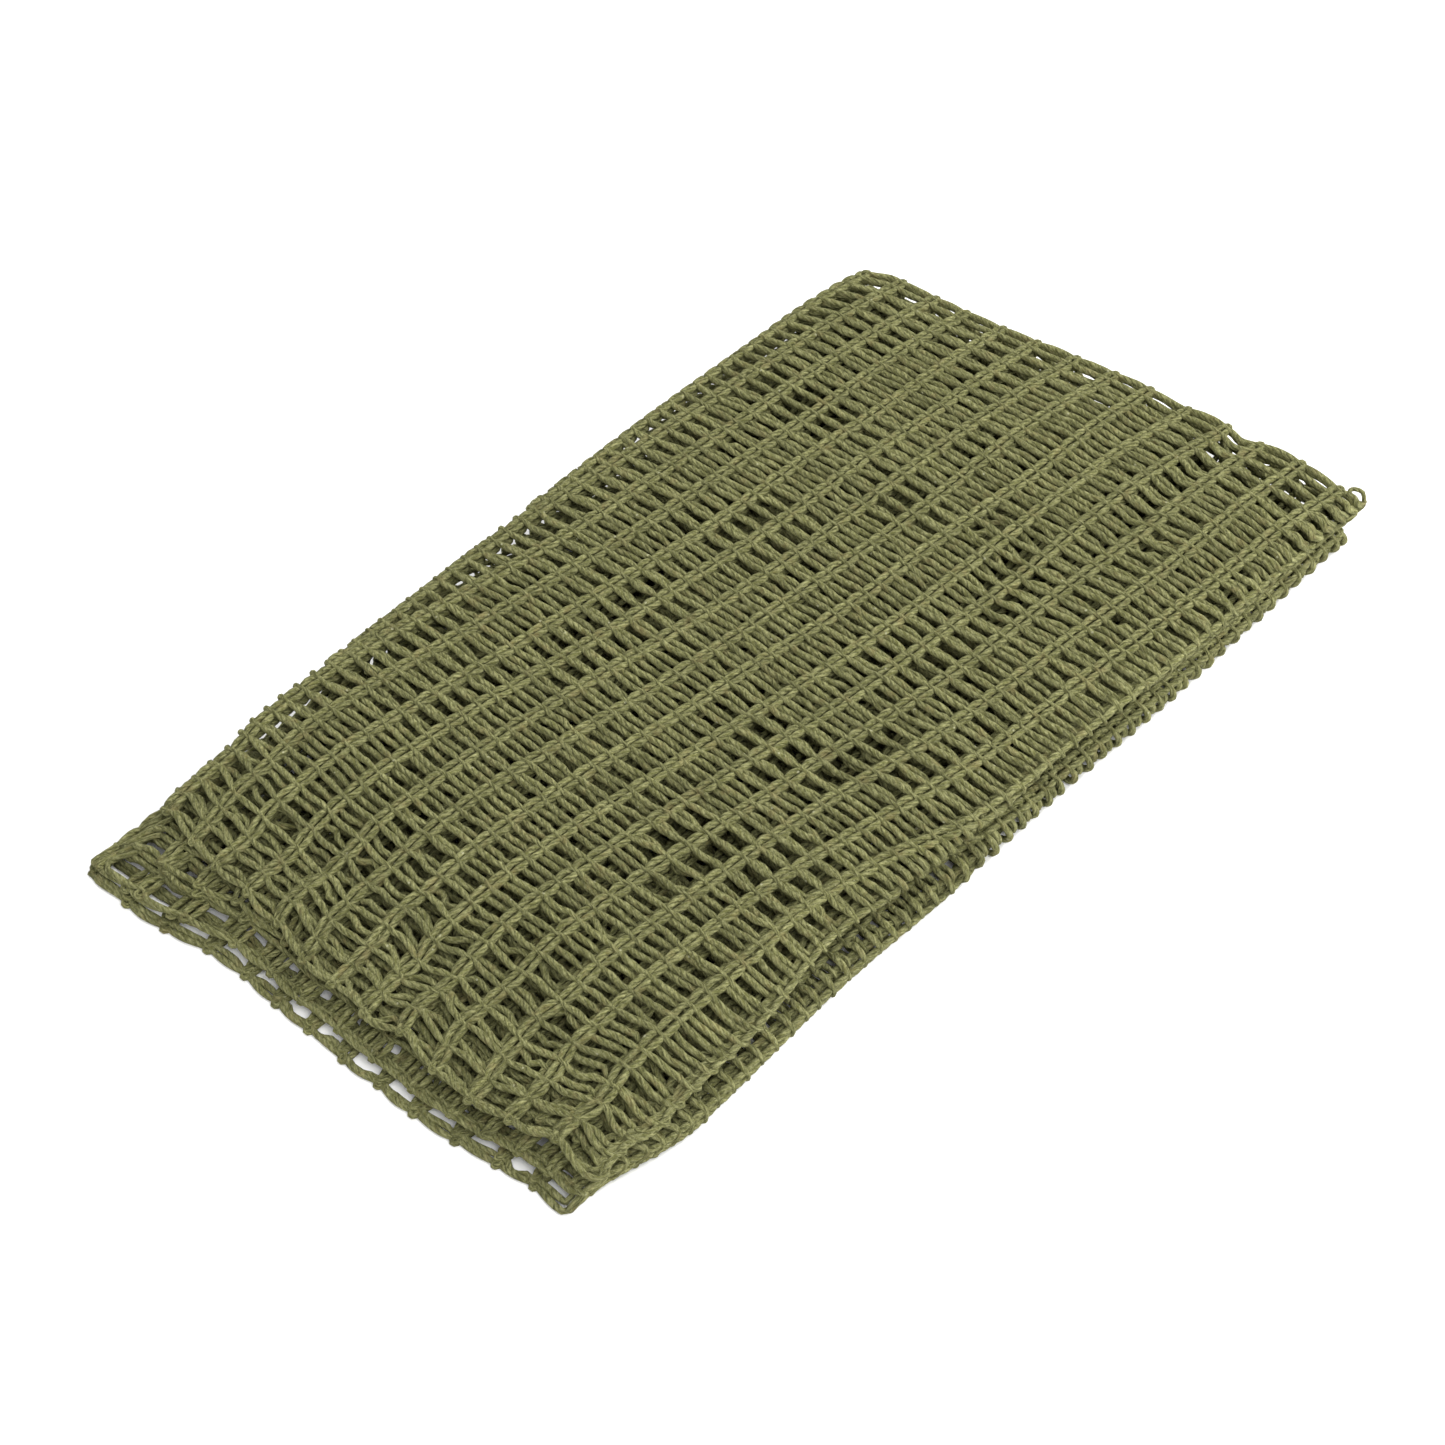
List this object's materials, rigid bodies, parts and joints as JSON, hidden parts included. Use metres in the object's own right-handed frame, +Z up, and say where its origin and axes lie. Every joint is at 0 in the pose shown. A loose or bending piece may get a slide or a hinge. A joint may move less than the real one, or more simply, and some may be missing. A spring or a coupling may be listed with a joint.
{
  "type": "folded mesh net scarf",
  "caption": "Soft cotton mesh net scarf folded into a flat rectangular pack; the stacked panels open out at the long folds.",
  "frame": {"origin": "bottom centre of the whole folded pack, on the surface it lies on", "axes": "+X along the long side towards the end where the upper panels overhang, +Y from the near long edge to the far one, +Z up out of the pack"},
  "size_m": [0.34, 0.2, 0.022],
  "materials": {
    "mesh_net": "matt plied cotton yarn, olive green",
    "folded_net": "matt plied cotton yarn, olive green",
    "edge_cord": "matt plied cotton yarn, olive green"
  },
  "bodies": {
    "panel_1": {"near_fold_1_2_inner_on_panel_1": "folded_net", "near_fold_1_2_outer_on_panel_1": "folded_net", "panel_1_lower_left_hem": "edge_cord", "panel_1_lower_ply": "mesh_net", "panel_1_lower_right_hem": "edge_cord", "panel_1_lower_selvedge": "edge_cord", "panel_1_upper_left_hem": "edge_cord", "panel_1_upper_ply": "mesh_net", "panel_1_upper_right_hem": "edge_cord", "panel_1_upper_selvedge": "edge_cord"},
    "panel_2": {"far_fold_2_3_inner_on_panel_2": "folded_net", "far_fold_2_3_outer_on_panel_2": "folded_net", "near_fold_1_2_inner_on_panel_2": "folded_net", "near_fold_1_2_outer_on_panel_2": "folded_net", "panel_2_lower_left_hem": "edge_cord", "panel_2_lower_ply": "mesh_net", "panel_2_lower_right_hem": "edge_cord", "panel_2_upper_left_hem": "edge_cord", "panel_2_upper_ply": "mesh_net", "panel_2_upper_right_hem": "edge_cord"},
    "panel_3": {"far_fold_2_3_inner_on_panel_3": "folded_net", "far_fold_2_3_outer_on_panel_3": "folded_net", "near_fold_3_4_inner_on_panel_3": "folded_net", "near_fold_3_4_outer_on_panel_3": "folded_net", "panel_3_lower_left_hem": "edge_cord", "panel_3_lower_ply": "mesh_net", "panel_3_lower_right_hem": "edge_cord", "panel_3_upper_left_hem": "edge_cord", "panel_3_upper_ply": "mesh_net", "panel_3_upper_right_hem": "edge_cord"},
    "panel_4": {"near_fold_3_4_inner_on_panel_4": "folded_net", "near_fold_3_4_outer_on_panel_4": "folded_net", "panel_4_doubling_fold": "folded_net", "panel_4_lower_left_hem": "edge_cord", "panel_4_lower_ply": "mesh_net", "panel_4_lower_right_hem": "edge_cord", "panel_4_upper_left_hem": "edge_cord", "panel_4_upper_ply": "mesh_net", "panel_4_upper_right_hem": "edge_cord"}
  },
  "joints": [
    {"name": "near_fold_1_2", "type": "hinge", "parent": "panel_1", "child": "panel_2", "pos_m": [0, -0.1, 0.0054], "axis": [1, 0, 0], "range_deg": [0, 178]},
    {"name": "far_fold_2_3", "type": "hinge", "parent": "panel_2", "child": "panel_3", "pos_m": [0, 0.1, 0.011], "axis": [-1, 0, 0], "range_deg": [0, 178]},
    {"name": "near_fold_3_4", "type": "hinge", "parent": "panel_3", "child": "panel_4", "pos_m": [0, -0.1, 0.0166], "axis": [1, 0, 0], "range_deg": [0, 178]}
  ]
}
